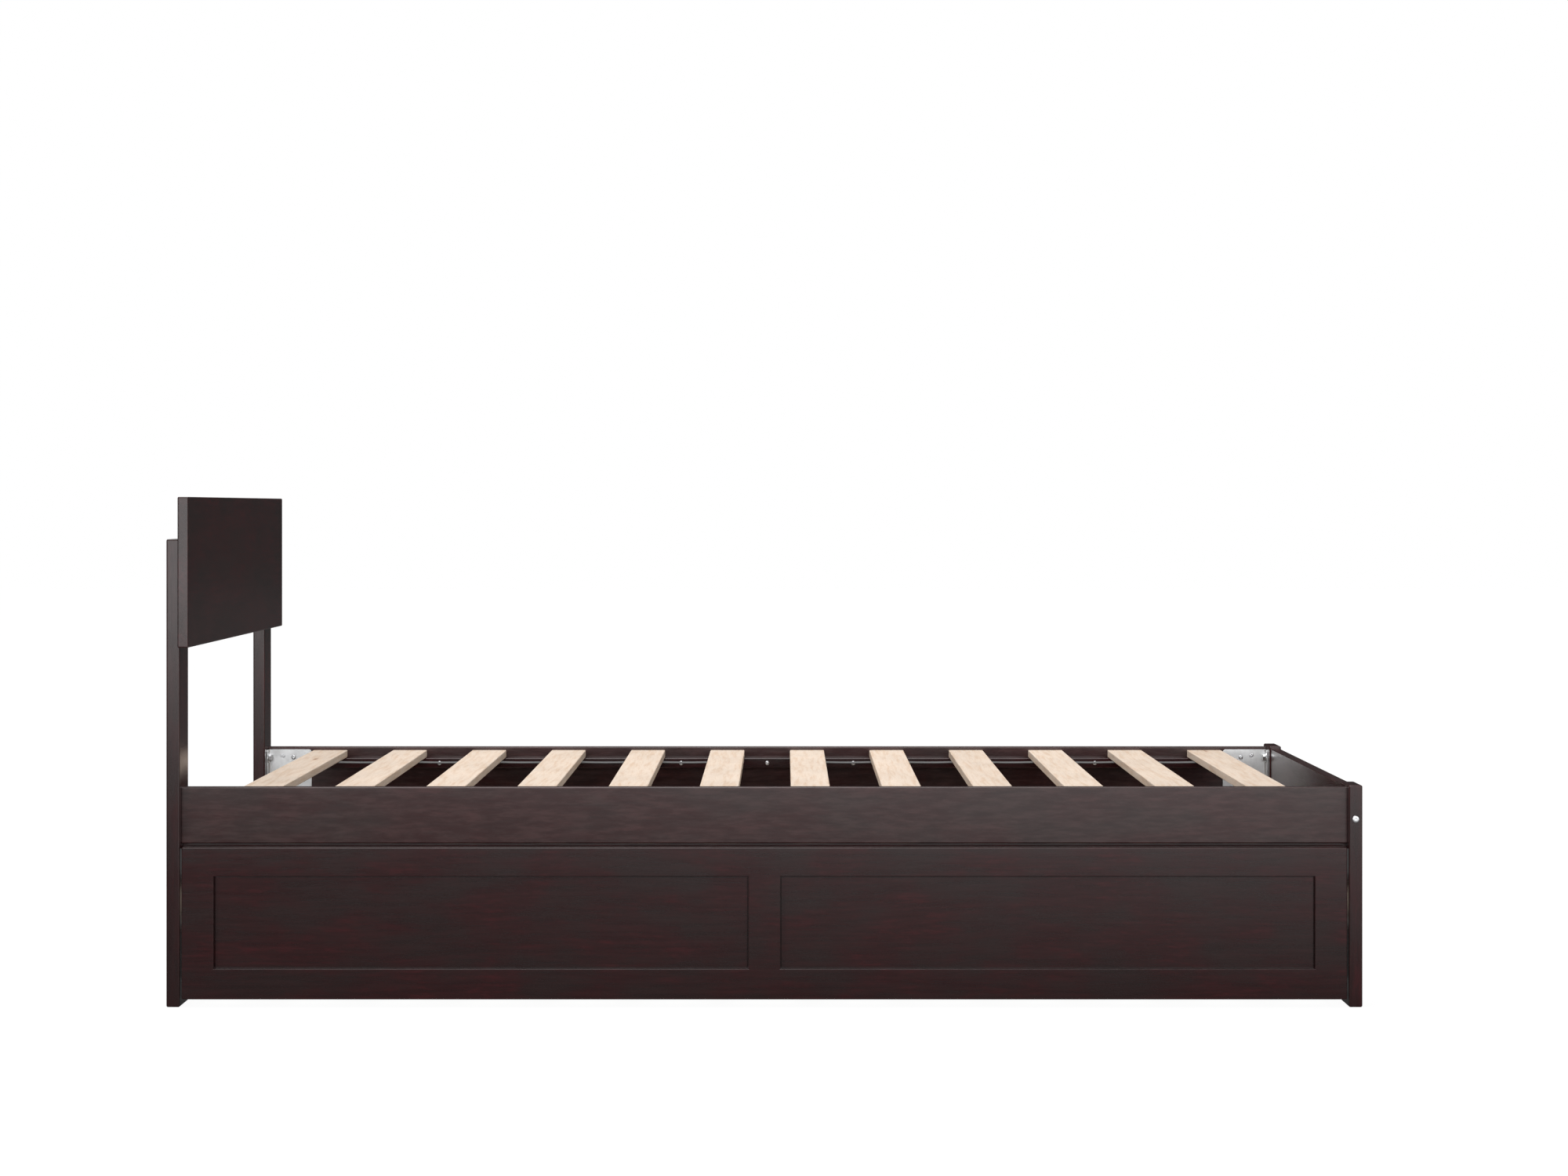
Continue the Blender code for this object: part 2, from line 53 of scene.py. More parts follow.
def addNode(tree, kind, inputs=None, **settings):
    node = tree.nodes.new("ShaderNode" + kind)
    for key, value in settings.items():
        setattr(node, key, value)
    for key, value in (inputs or {}).items():
        if isinstance(value, bpy.types.NodeSocket):
            tree.links.new(value, node.inputs[key])
        else:
            node.inputs[key].default_value = value
    return node


def calc(tree, operation, one, two=0.5):
    return addNode(tree, "Math", {0: one, 1: two}, operation=operation).outputs[0]


def remap(tree, value, low, high, newLow=0.0, newHigh=1.0):
    inputs = {"Value": value, "From Min": low, "From Max": high, "To Min": newLow, "To Max": newHigh}
    return addNode(tree, "MapRange", inputs, interpolation_type="SMOOTHSTEP").outputs[0]


def mixColour(tree, amount, one, two, blend="MIX"):
    return addNode(tree, "Mix", {0: amount, 6: one, 7: two}, data_type="RGBA", blend_type=blend).outputs[2]


def stretch(tree, vector, scale):
    return addNode(tree, "VectorMath", {0: vector, 1: scale}, operation="MULTIPLY").outputs[0]


def noise(tree, vector, scale=1.0, detail=2.0, roughness=0.5):
    inputs = {"Vector": vector, "Scale": scale, "Detail": detail, "Roughness": roughness}
    return addNode(tree, "TexNoise", inputs).outputs["Fac"]


def newGroup(name, inputs, outputs):
    group = bpy.data.node_groups.new(name, "ShaderNodeTree")
    for label, kind in inputs:
        group.interface.new_socket(name=label, in_out="INPUT", socket_type="NodeSocket" + kind)
    for label in outputs:
        group.interface.new_socket(name=label, in_out="OUTPUT", socket_type="NodeSocketFloat")
    return group, group.nodes.new("NodeGroupInput").outputs, group.nodes.new("NodeGroupOutput").inputs


def newMaterial(name, **values):
    material = bpy.data.materials.new(name)
    material.use_nodes = True
    tree = material.node_tree
    tree.nodes.clear()
    shader = addNode(tree, "BsdfPrincipled")
    for key, value in values.items():
        shader.inputs[key.replace("_", " ")].default_value = value
    tree.links.new(shader.outputs[0], addNode(tree, "OutputMaterial").inputs["Surface"])
    return material, tree, shader


def makeWoodFigure():
    group, given, wanted = newGroup("woodFigure", [("Place", "Vector"), ("Shift", "Float")],
                                    ["Grain", "Lines", "Streaks", "Clouds"])
    offset = addNode(group, "CombineXYZ", {0: calc(group, "MULTIPLY", given["Shift"], 3.1),
                                           1: calc(group, "MULTIPLY", given["Shift"], 1.7),
                                           2: calc(group, "MULTIPLY", given["Shift"], 2.3)}).outputs[0]
    moved = addNode(group, "VectorMath", {0: given["Place"], 1: offset}, operation="ADD").outputs[0]
    wander = addNode(group, "TexNoise", {"Vector": stretch(group, moved, (1.6, 5, 5)), "Scale": 1.0,
                                         "Detail": 2.0}).outputs["Color"]
    bend = addNode(group, "VectorMath", {0: wander, 1: (0.0, 0.03, 0.03)}, operation="MULTIPLY").outputs[0]
    warped = addNode(group, "VectorMath", {0: moved, 1: bend}, operation="ADD").outputs[0]
    group.links.new(noise(group, stretch(group, warped, (34, 640, 640)), detail=3, roughness=0.6),
                    wanted["Grain"])
    group.links.new(noise(group, stretch(group, warped, (8, 130, 130)), detail=4, roughness=0.55),
                    wanted["Lines"])
    group.links.new(noise(group, stretch(group, warped, (21, 110, 110)), detail=4, roughness=0.65),
                    wanted["Streaks"])
    group.links.new(noise(group, stretch(group, moved, (6, 15, 15)), detail=3, roughness=0.55),
                    wanted["Clouds"])
    return group


woodFigure = makeWoodFigure()

grainOrders = {"X": (0, 1, 2), "Y": (1, 0, 2), "Z": (2, 1, 0)}


def figureOf(tree, axis):
    place = addNode(tree, "SeparateXYZ", {0: addNode(tree, "TexCoord").outputs["Object"]}).outputs
    turned = addNode(tree, "CombineXYZ", {slot: place[source]
                                          for slot, source in enumerate(grainOrders[axis])}).outputs[0]
    shift = addNode(tree, "Attribute", attribute_name="pieceShift").outputs["Fac"]
    figure = addNode(tree, "Group", node_tree=woodFigure)
    tree.links.new(turned, figure.inputs["Place"])
    tree.links.new(shift, figure.inputs["Shift"])
    return figure.outputs, turned, shift


stainLook = {
    "neutral": (0.0255, 0.0100, 0.0098, 1),
    "maroon": (0.0345, 0.0078, 0.0086, 1),
    "red": (0.0640, 0.0098, 0.0122, 1),
    # the next colour is a painted edge highlight, laid lighter on the rounded edges
    "paintedEdgeHighlight": (0.1000, 0.0600, 0.0570, 1),
    "roughness": 0.15,
    "redAmount": 0.62,
    "bump": 0.04,
}


def stainedWood(axis):
    look = stainLook
    material, tree, shader = newMaterial("espressoWood" + axis, Specular_IOR_Level=0.5)
    figure, place, shift = figureOf(tree, axis)
    clouds = remap(tree, figure["Clouds"], 0.36, 0.62)
    colour = mixColour(tree, clouds, look["neutral"], look["maroon"])
    patch = calc(tree, "MULTIPLY", remap(tree, figure["Streaks"], 0.48, 0.68),
                 remap(tree, figure["Clouds"], 0.42, 0.66, 0.15, 1.0))
    colour = mixColour(tree, calc(tree, "MULTIPLY", patch, look["redAmount"]), colour, look["red"])
    level = calc(tree, "MULTIPLY", remap(tree, figure["Lines"], 0.30, 0.70, 0.82, 1.14),
                 remap(tree, figure["Grain"], 0.32, 0.64, 0.88, 1.08))
    tint = addNode(tree, "CombineColor", {0: level, 1: level, 2: level}).outputs[0]
    colour = mixColour(tree, 1.0, colour, tint, "MULTIPLY")
    # the rounded edges get a lighter colour through the edge mask: a painted edge highlight, not wear
    edge = addNode(tree, "Attribute", attribute_name="edgeMask").outputs["Fac"]
    edgeHighlightAmount = calc(tree, "MULTIPLY", edge, remap(tree, figure["Streaks"], 0.35, 0.70, 0.15, 0.45))
    colour = mixColour(tree, edgeHighlightAmount, colour, look["paintedEdgeHighlight"])
    tree.links.new(colour, shader.inputs["Base Color"])
    rough = calc(tree, "ADD", remap(tree, figure["Grain"], 0.3, 0.7, 0.04, 0.0), look["roughness"])
    rough = calc(tree, "ADD", rough, remap(tree, figure["Clouds"], 0.3, 0.7, 0.03, 0.0))
    tree.links.new(rough, shader.inputs["Roughness"])
    relief = calc(tree, "ADD", calc(tree, "MULTIPLY", figure["Grain"], 0.6), figure["Lines"])
    bump = addNode(tree, "Bump", {"Height": relief, "Strength": look["bump"], "Distance": 0.0006})
    tree.links.new(bump.outputs[0], shader.inputs["Normal"])
    return material


pineLook = {
    "pale": (0.850, 0.705, 0.580, 1),
    "band": (0.750, 0.565, 0.420, 1),
    "knot": (0.300, 0.120, 0.050, 1),
    "roughness": 0.55,
    "knotSize": 0.10,
}


def pineWood():
    look = pineLook
    material, tree, shader = newMaterial("pineWood", Specular_IOR_Level=0.35)
    figure, place, shift = figureOf(tree, "Y")
    lines = remap(tree, figure["Lines"], 0.40, 0.74)
    colour = mixColour(tree, lines, look["pale"], look["band"])
    own = addNode(tree, "TexWhiteNoise", {"W": shift}, noise_dimensions="1D").outputs["Value"]
    level = calc(tree, "ADD", remap(tree, own, 0, 1, 0.93, 1.03),
                 remap(tree, figure["Grain"], 0.35, 0.65, -0.05, 0.02))
    level = calc(tree, "MULTIPLY", level, remap(tree, figure["Clouds"], 0.3, 0.7, 0.95, 1.03))
    tint = addNode(tree, "CombineColor", {0: level, 1: level, 2: level}).outputs[0]
    colour = mixColour(tree, 1.0, colour, tint, "MULTIPLY")
    spread = addNode(tree, "CombineXYZ", {0: calc(tree, "MULTIPLY", shift, 5.3),
                                          1: calc(tree, "MULTIPLY", shift, 2.9)}).outputs[0]
    spot = addNode(tree, "VectorMath", {0: place, 1: spread}, operation="ADD").outputs[0]
    cells = addNode(tree, "TexVoronoi", {"Vector": stretch(tree, spot, (3.0, 14, 14)), "Scale": 1.0,
                                         "Randomness": 1.0}).outputs
    rare = calc(tree, "GREATER_THAN", addNode(tree, "SeparateColor", {0: cells["Color"]}).outputs[0], 0.55)
    core = calc(tree, "MULTIPLY", remap(tree, cells["Distance"], look["knotSize"], 0.03), rare)
    halo = calc(tree, "MULTIPLY", remap(tree, cells["Distance"], look["knotSize"] * 2.6, 0.05), rare)
    colour = mixColour(tree, calc(tree, "MULTIPLY", halo, 0.35), colour, look["band"])
    colour = mixColour(tree, calc(tree, "MULTIPLY", core, 0.75), colour, look["knot"])
    tree.links.new(colour, shader.inputs["Base Color"])
    tree.links.new(remap(tree, figure["Grain"], 0.3, 0.7, look["roughness"] + 0.08, look["roughness"]),
                   shader.inputs["Roughness"])
    relief = calc(tree, "ADD", figure["Grain"], calc(tree, "MULTIPLY", core, 0.5))
    bump = addNode(tree, "Bump", {"Height": relief, "Strength": 0.15, "Distance": 0.0005})
    tree.links.new(bump.outputs[0], shader.inputs["Normal"])
    return material


webLook = {"dark": (0.040, 0.042, 0.045, 1), "light": (0.115, 0.118, 0.122, 1), "thread": 1100.0}


def webbing():
    look = webLook
    material, tree, shader = newMaterial("greyWebbing", Roughness=0.85, Sheen_Weight=0.25)
    place = addNode(tree, "TexCoord").outputs["Object"]
    across = addNode(tree, "TexWave", {"Vector": place, "Scale": look["thread"] / 6.28, "Distortion": 0.4},
                     bands_direction="X").outputs["Fac"]
    along = addNode(tree, "TexWave", {"Vector": place, "Scale": look["thread"] / 9.4, "Distortion": 0.6},
                    bands_direction="Y").outputs["Fac"]
    weave = calc(tree, "MULTIPLY", across, along)
    fuzz = noise(tree, place, 900, 2)
    tone = calc(tree, "ADD", calc(tree, "MULTIPLY", weave, 0.7), calc(tree, "MULTIPLY", fuzz, 0.4))
    tree.links.new(mixColour(tree, tone, look["dark"], look["light"]), shader.inputs["Base Color"])
    bump = addNode(tree, "Bump", {"Height": weave, "Strength": 0.5, "Distance": 0.0004})
    tree.links.new(bump.outputs[0], shader.inputs["Normal"])
    return material


steelLook = {
    "zincSteel": {"colour": (0.800, 0.805, 0.810, 1), "roughness": 0.34, "cloudy": 0.12},
    "screwSteel": {"colour": (0.740, 0.745, 0.760, 1), "roughness": 0.26, "cloudy": 0.08},
}


def makeSurfaceWear():
    group, given, wanted = newGroup("surfaceWear", [("Place", "Vector"), ("Size", "Float")],
                                    ["Smudge", "Fine"])
    group.links.new(noise(group, given["Place"], given["Size"], 4, 0.6), wanted["Smudge"])
    group.links.new(noise(group, given["Place"], calc(group, "MULTIPLY", given["Size"], 14.0), 2),
                    wanted["Fine"])
    return group


surfaceWear = makeSurfaceWear()


def wearOf(tree, size):
    wear = addNode(tree, "Group", node_tree=surfaceWear)
    tree.links.new(addNode(tree, "TexCoord").outputs["Object"], wear.inputs["Place"])
    wear.inputs["Size"].default_value = size
    return wear.outputs


def steel(name):
    look = steelLook[name]
    material, tree, shader = newMaterial(name, Metallic=1.0)
    wear = wearOf(tree, 45.0)
    low, high = look["roughness"], look["roughness"] + look["cloudy"]
    tree.links.new(remap(tree, wear["Smudge"], 0.3, 0.7, low, high), shader.inputs["Roughness"])
    dull = tuple(value * 0.86 for value in look["colour"][:3]) + (1,)
    tree.links.new(mixColour(tree, remap(tree, wear["Smudge"], 0.35, 0.7), look["colour"], dull),
                   shader.inputs["Base Color"])
    bump = addNode(tree, "Bump", {"Height": wear["Fine"], "Strength": 0.06, "Distance": 0.0002})
    tree.links.new(bump.outputs[0], shader.inputs["Normal"])
    return material


plasticLook = {
    "casterPlastic": {"colour": (0.020, 0.020, 0.022, 1), "roughness": 0.42},
    "casterHub": {"colour": (0.055, 0.056, 0.058, 1), "roughness": 0.48},
    "casterTread": {"colour": (0.030, 0.030, 0.031, 1), "roughness": 0.68},
}


def moulded(name):
    look = plasticLook[name]
    material, tree, shader = newMaterial(name, Specular_IOR_Level=0.45)
    wear = wearOf(tree, 60.0)
    dusty = tuple(value * 1.7 for value in look["colour"][:3]) + (1,)
    tree.links.new(mixColour(tree, remap(tree, wear["Smudge"], 0.4, 0.75), look["colour"], dusty),
                   shader.inputs["Base Color"])
    tree.links.new(remap(tree, wear["Smudge"], 0.3, 0.7, look["roughness"], look["roughness"] + 0.12),
                   shader.inputs["Roughness"])
    bump = addNode(tree, "Bump", {"Height": wear["Fine"], "Strength": 0.10, "Distance": 0.0003})
    tree.links.new(bump.outputs[0], shader.inputs["Normal"])
    return material


stained = {axis: stainedWood(axis) for axis in grainOrders}
pine = pineWood()
strapCloth = webbing()
zincSteel, screwSteel = steel("zincSteel"), steel("screwSteel")
casterPlastic, casterHub, casterTread = (moulded(name) for name in plasticLook)
print("materials made")


def blankShape():
    shape = bmesh.new()
    shape.verts.layers.float.new("edgeMask")
    shape.verts.layers.float.new("pieceShift")
    return shape


# marks the rounded edges for the painted edge highlight and gives each piece its own shift
def markHighlightEdges(shape, lo, hi, rounding, shift):
    edge, own = shape.verts.layers.float["edgeMask"], shape.verts.layers.float["pieceShift"]
    for vert in shape.verts:
        near = sorted(min(vert.co[i] - lo[i], hi[i] - vert.co[i]) for i in range(3))
        vert[edge] = max(0.0, 1 - near[1] / rounding)
        vert[own] = shift


def roundEdges(shape, edges, size, segments):
    bmesh.ops.bevel(shape, geom=edges, offset=size, offset_type="OFFSET", segments=segments, profile=0.5,
                    affect="EDGES", clamp_overlap=True)


def plainBoard(lo, hi, rounding=0.0, segments=4, butt=None):
    shape = blankShape()
    centre, size = (Vector(lo) + Vector(hi)) / 2, Vector(hi) - Vector(lo)
    bmesh.ops.create_cube(shape, size=1, matrix=Matrix.Translation(centre) @ Matrix.Diagonal((*size, 1)))
    if butt is None:
        if rounding:
            roundEdges(shape, shape.edges[:], rounding, segments)
        return shape
    way = "XYZ".index(butt)  # the two ends across this axis stay square
    along = [edge for edge in shape.edges if abs(edge.verts[0].co[way] - edge.verts[1].co[way]) > 1e-6]
    roundEdges(shape, along, rounding, segments)
    square = [edge for edge in shape.edges if abs(edge.verts[0].co[way] - edge.verts[1].co[way]) < 1e-6]
    roundEdges(shape, square, 0.0004, 1)
    return shape


def board(lo, hi, rounding, cutters=(), butt=None):
    shape = plainBoard(lo, hi, rounding, butt=butt)
    if cutters:
        shape = combine(shape, cutters, "DIFFERENCE")
    markHighlightEdges(shape, lo, hi, rounding, dice.uniform(1, 40))
    return shape


def combine(shape, others, operation):
    temps = []
    for part in [shape, *others]:
        mesh = bpy.data.meshes.new("temp")
        bmesh.ops.recalc_face_normals(part, faces=part.faces[:])
        part.to_mesh(mesh)
        part.free()
        temps.append(bpy.data.objects.new("temp", mesh))
        bpy.context.scene.collection.objects.link(temps[-1])
    for other in temps[1:]:
        step = temps[0].modifiers.new("combine", "BOOLEAN")
        step.object, step.operation, step.solver = other, operation, "EXACT"
    result = blankShape()
    result.from_mesh(temps[0].evaluated_get(bpy.context.evaluated_depsgraph_get()).to_mesh())
    for item in temps:
        mesh = item.data
        bpy.data.objects.remove(item)
        bpy.data.meshes.remove(mesh)
    return result


def ringRadius(form, radius, angle):
    if form == "hex":
        return radius / math.cos((angle + math.pi / 6) % (math.pi / 3) - math.pi / 6)
    if form == "cross":
        return radius if abs((angle + math.pi / 4) % (math.pi / 2) - math.pi / 4) < 0.3 else radius * 0.42
    return radius


def turned(profile, place, direction, steps=24, spin=0.0):
    shape = blankShape()
    rings = []
    for along, radius, *form in profile:
        if radius < 1e-6:
            rings.append([shape.verts.new((0, 0, along))])
            continue
        angles = [math.tau * step / steps for step in range(steps)]
        radii = [ringRadius(form[0] if form else "round", radius, angle) for angle in angles]
        rings.append([shape.verts.new((r * math.cos(a), r * math.sin(a), along))
                      for a, r in zip(angles, radii)])
    for one, two in zip(rings, rings[1:]):
        for step in range(steps):
            after = (step + 1) % steps
            corners = [one[step % len(one)], one[after % len(one)], two[after % len(two)],
                       two[step % len(two)]]
            shape.faces.new(list(dict.fromkeys(corners)))
    turn = Vector(direction).to_track_quat("Z", "Y").to_matrix().to_4x4()
    shape.transform(Matrix.Translation(place) @ turn @ Matrix.Rotation(spin, 4, "Z"))
    bmesh.ops.recalc_face_normals(shape, faces=shape.faces[:])
    return shape


def extruded(outline, low, high, axis):
    shape = blankShape()
    order = {"X": lambda a, b, c: (c, a, b), "Y": lambda a, b, c: (a, c, b), "Z": lambda a, b, c: (a, b, c)}
    rings = [[shape.verts.new(order[axis](a, b, level)) for a, b in outline] for level in (low, high)]
    for ring in rings:
        shape.faces.new(ring)
    for step in range(len(outline)):
        after = (step + 1) % len(outline)
        shape.faces.new((rings[0][step], rings[0][after], rings[1][after], rings[1][step]))
    bmesh.ops.recalc_face_normals(shape, faces=shape.faces[:])
    return shape


def arc(centre, radius, start, stop, steps=5):
    return [(centre[0] + radius * math.cos(math.radians(start + (stop - start) * step / steps)),
             centre[1] + radius * math.sin(math.radians(start + (stop - start) * step / steps)))
            for step in range(steps + 1)]


def easeEdges(shape, size, segments=2, angle=35):
    edges = [edge for edge in shape.edges if edge.is_manifold
             and edge.calc_face_angle(0) > math.radians(angle)]
    bmesh.ops.bevel(shape, geom=edges, offset=size, offset_type="OFFSET", segments=segments,
                    profile=0.5, affect="EDGES", clamp_overlap=True)
    return shape


def joined(shapes):
    whole = blankShape()
    for part in shapes:
        mesh = bpy.data.meshes.new("temp")
        part.to_mesh(mesh)
        part.free()
        whole.from_mesh(mesh)
        bpy.data.meshes.remove(mesh)
    return whole


def makePiece(name, shape, material, body, stands=(), sharp=50):
    bmesh.ops.recalc_face_normals(shape, faces=shape.faces[:])
    mesh = bpy.data.meshes.new(name)
    shape.to_mesh(mesh)
    shape.free()
    mesh.shade_smooth()
    mesh.set_sharp_from_angle(angle=math.radians(sharp))
    mesh.materials.append(material)
    item = bpy.data.objects.new(name, mesh)
    bpy.context.scene.collection.objects.link(item)
    item.modifiers.new("normals", "WEIGHTED_NORMAL").keep_sharp = True
    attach(item, body)
    if stands:
        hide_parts(*stands)


headLook = {"height": 0.42, "socket": 0.58}  # as parts of the screw head's radius


def panHead(place, direction, radius):
    high, deep = radius * headLook["height"], radius * headLook["socket"]
    profile = [(0, 0), (0, radius), (high * 0.45, radius * 0.97), (high * 0.80, radius * 0.82),
               (high, radius * 0.60), (high, deep, "cross"), (high * 0.35, deep * 0.8, "cross"),
               (high * 0.30, 0)]
    return turned(profile, place, direction, 24, dice.uniform(0, 3))


def flatHead(place, direction, radius):
    depth = radius * 0.5
    profile = [(-depth, 0), (-depth, radius * 0.55), (-0.0001, radius), (0, radius * 0.93),
               (0, radius * 0.52, "cross"), (-depth * 0.6, radius * 0.42, "cross"), (-depth * 0.65, 0)]
    return turned(profile, place, direction, 24, dice.uniform(0, 3))


postLook = {"rounding": 0.0030, "bore": 0.0034, "counterbore": 0.0140, "counterboreDepth": 0.0040,
            "boltInset": 0.045, "panelRounding": 0.0024}


def buildPosts():
    look = postLook
    panelLo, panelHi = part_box("headboard_panel")
    for side in sides:
        name = "foot_post_" + side
        lo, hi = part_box(name)
        boltLo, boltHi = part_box("foot_bolt_" + side)
        middle = (boltLo + boltHi) / 2
        bore = turned([(-0.2, 0), (-0.2, look["bore"]), (0.2, look["bore"]), (0.2, 0)], middle, (0, 1, 0))
        makePiece(name + "_board", board(lo, hi, look["rounding"], cutters=[bore]), stained["Z"], "bed",
                  [name])
        name = "head_post_" + side
        lo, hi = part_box(name)
        wells, heads = [], []
        for height in (panelLo.z + look["boltInset"], hi.z - look["boltInset"]):
            place = Vector((lo.x, (lo.y + hi.y) / 2, height))
            radius, deep = look["counterbore"] / 2, look["counterboreDepth"]
            wells.append(turned([(-deep, 0), (-deep, radius), (0.01, radius), (0.01, 0)], place, (-1, 0, 0)))
            inner = place + Vector((deep, 0, 0))
            size = radius - 0.0010
            heads.append(turned([(0, 0), (0, size), (0.0026, size), (0.0034, size * 0.90),
                                 (0.0034, 0.0036), (0.0034, 0.0030, "hex"), (0.0012, 0.0029, "hex"),
                                 (0.0010, 0)], inner, (-1, 0, 0), 24, dice.uniform(0, 1)))
        makePiece(name + "_board", board(lo, hi, look["rounding"], cutters=wells), stained["Z"], "bed",
                  [name])
        makePiece("headboard_bolts_" + side, joined(heads), screwSteel, "bed")
    makePiece("headboard_board", board(panelLo, panelHi, look["panelRounding"]), stained["Y"], "bed",
              ["headboard_panel"])


footBoltLook = {"headRadius": 0.0065, "headHeight": 0.0020, "shank": 0.0030, "socket": 0.0021,
                "bore": 0.0034, "boreLength": 0.043, "nutBore": 0.0053, "nutInset": 0.032}


def buildFootRail():
    look = footBoltLook
    lo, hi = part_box("foot_rail")
    bores, nuts = [], []
    for side, across in sides.items():
        boltLo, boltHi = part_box("foot_bolt_" + side)
        middle = (boltLo + boltHi) / 2
        start = Vector((middle.x, (hi if across > 0 else lo).y, middle.z))
        bore, deep, well = look["bore"], look["boreLength"], look["nutBore"]
        bores.append(turned([(-deep, 0), (-deep, bore), (0.01, bore), (0.01, 0)], start, (0, across, 0)))
        under = Vector((middle.x, start.y - across * look["nutInset"], lo.z))
        bores.append(turned([(-0.004, 0), (-0.004, well), (0.004, well), (0.004, 0)], under, (0, 0, -1)))
        nuts.append(turned([(-0.0035, 0), (-0.0035, 0.0050), (-0.0008, 0.0050), (-0.0004, 0.0046),
                            (-0.0004, 0.0042), (-0.0004, 0.0034, "cross"), (-0.0014, 0.0030, "cross"),
                            (-0.0016, 0)], under, (0, 0, -1), 24, dice.uniform(0, 1)))
        head = boltLo.y if across < 0 else boltHi.y
        seat = head - across * look["headHeight"]
        length = boltHi.y - boltLo.y - look["headHeight"]
        profile = [(-length, 0), (-length, look["shank"] * 0.7), (-length + 0.002, look["shank"]),
                   (0, look["shank"]), (0, look["headRadius"]),
                   (look["headHeight"] * 0.35, look["headRadius"]),
                   (look["headHeight"] * 0.80, look["headRadius"] * 0.90),
                   (look["headHeight"], look["headRadius"] * 0.72),
                   (look["headHeight"], look["socket"] * 1.15), (look["headHeight"], look["socket"], "hex"),
                   (-0.0012, look["socket"] * 0.96, "hex"), (-0.0014, 0)]
        bolt = turned(profile, (middle.x, seat, middle.z), (0, across, 0), 48)
        makePiece("foot_bolt_" + side + "_head", bolt, screwSteel, "bed",
                  ["foot_bolt_" + side])
    makePiece("foot_rail_board", board(lo, hi, 0.0025, cutters=bores, butt="Y"), stained["Y"], "bed",
              ["foot_rail"])
    makePiece("foot_barrel_nuts", joined(nuts), screwSteel, "bed")


railLook = {"rounding": 0.0028, "cleatRounding": 0.0018, "screwRadius": 0.0045,
            "rebateHeight": 0.0100, "rebateDepth": 0.0130, "lipRounding": 0.0012,  # the stepped lower edge
            "screwPlaces": (0, 0.177, 0.425, 0.674, 0.922)}


def buildSideRails():
    look = railLook
    for side, across in sides.items():
        lo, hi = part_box("side_rail_" + side)
        outer, inner = (lo.y, hi.y) if across < 0 else (hi.y, lo.y)
        step, lip = outer - across * look["rebateDepth"], lo.z + look["rebateHeight"]
        size, small = look["rounding"], look["lipRounding"]
        corners = [(outer, 1, lip + size, size, -90, 0), (outer, 1, hi.z - size, size, 0, 90),
                   (inner, -1, hi.z - size, size, 90, 0), (inner, -1, lo.z + small, small, 0, -90),
                   (step, 1, lo.z + small, small, -90, 0)]
        outline = [(wall - way * across * radius + way * across * a, b)
                   for wall, way, height, radius, start, stop in corners
                   for a, b in arc((0, height), radius, start, stop)]
        outline.append((step, lip))
        shape = extruded(outline, lo.x, hi.x, "X")
        markHighlightEdges(shape, lo, hi, size, dice.uniform(1, 40))
        makePiece("side_rail_" + side + "_board", shape, stained["X"], "bed",
                  ["side_rail_" + side])
        lo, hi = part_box("slat_cleat_" + side)
        makePiece("slat_cleat_" + side + "_board", board(lo, hi, look["cleatRounding"]), stained["X"],
                  "bed", ["slat_cleat_" + side])
        face = lo.y if across > 0 else hi.y
        places = sorted({sign * x for x in look["screwPlaces"] for sign in (-1, 1)})
        screws = [panHead((x, face, (lo.z + hi.z) / 2), (0, -across, 0), look["screwRadius"])
                  for x in places]
        makePiece("cleat_screws_" + side, joined(screws), screwSteel, "bed")


slatLook = {"rounding": 0.0020, "count": 12, "strapSag": 0.0007, "strapRounding": 0.0005,
            "staple": 0.012, "wire": 0.0006, "staplePlaces": (-0.015, 0.015)}


def strapShape(lo, hi, slatSpans):
    look = slatLook
    shape = plainBoard(lo, hi)
    cuts = sorted({round(low + (high - low) * part / 4, 5) for low, high in slatSpans for part in range(5)}
                  | {round(one[1] + (two[0] - one[1]) * part / 6, 5)
                     for one, two in zip(slatSpans, slatSpans[1:]) for part in range(1, 6)})
    easeEdges(shape, look["strapRounding"])
    for x in cuts:
        if lo.x + 0.001 < x < hi.x - 0.001:
            bmesh.ops.bisect_plane(shape, geom=shape.verts[:] + shape.edges[:] + shape.faces[:],
                                   plane_co=(x, 0, 0), plane_no=(1, 0, 0))
    for vert in shape.verts:
        for one, two in zip(slatSpans, slatSpans[1:]):
            if one[1] < vert.co.x < two[0]:
                part = (vert.co.x - one[1]) / (two[0] - one[1])
                vert.co.z -= look["strapSag"] * math.sin(math.pi * part)
    return shape


def stapleShape(x, y, z):
    wire, half = slatLook["wire"], slatLook["staple"] / 2
    return plainBoard((x - wire, y - half, z - 2 * wire), (x + wire, y + half, z), wire * 0.4, 2)


def slatSet(names, spans, lo, hi, body, stands):
    for name, (low, high), stand in zip(names, spans, stands):
        shape = board(Vector((low, lo.y, lo.z)), Vector((high, hi.y, hi.z)), slatLook["rounding"])
        makePiece(name, shape, pine, body, [stand])


def buildSlats():
    count = slatLook["count"]
    nodes = [f"slat_{number:02d}" for number in range(1, count + 1)]
    spans = [(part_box(node)[0].x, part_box(node)[1].x) for node in nodes]
    lo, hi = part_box(nodes[0])
    slatSet([node + "_board" for node in nodes], spans, lo, hi, "bed", nodes)
    halves = {"head": spans[:count // 2], "foot": spans[count // 2:]}
    for end, own in halves.items():
        for side in sides:
            node = f"slat_strap_{end}_{side}"
            strapLo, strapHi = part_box(node)
            makePiece(f"strap_{end}_{side}", strapShape(strapLo, strapHi, own), strapCloth, "bed",
                      [node])
            middle = (strapLo.y + strapHi.y) / 2
            staples = [stapleShape((low + high) / 2 + away, middle, strapLo.z - 0.0001)
                       for low, high in own for away in slatLook["staplePlaces"]]
            makePiece(f"staples_{end}_{side}", joined(staples), zincSteel, "bed")


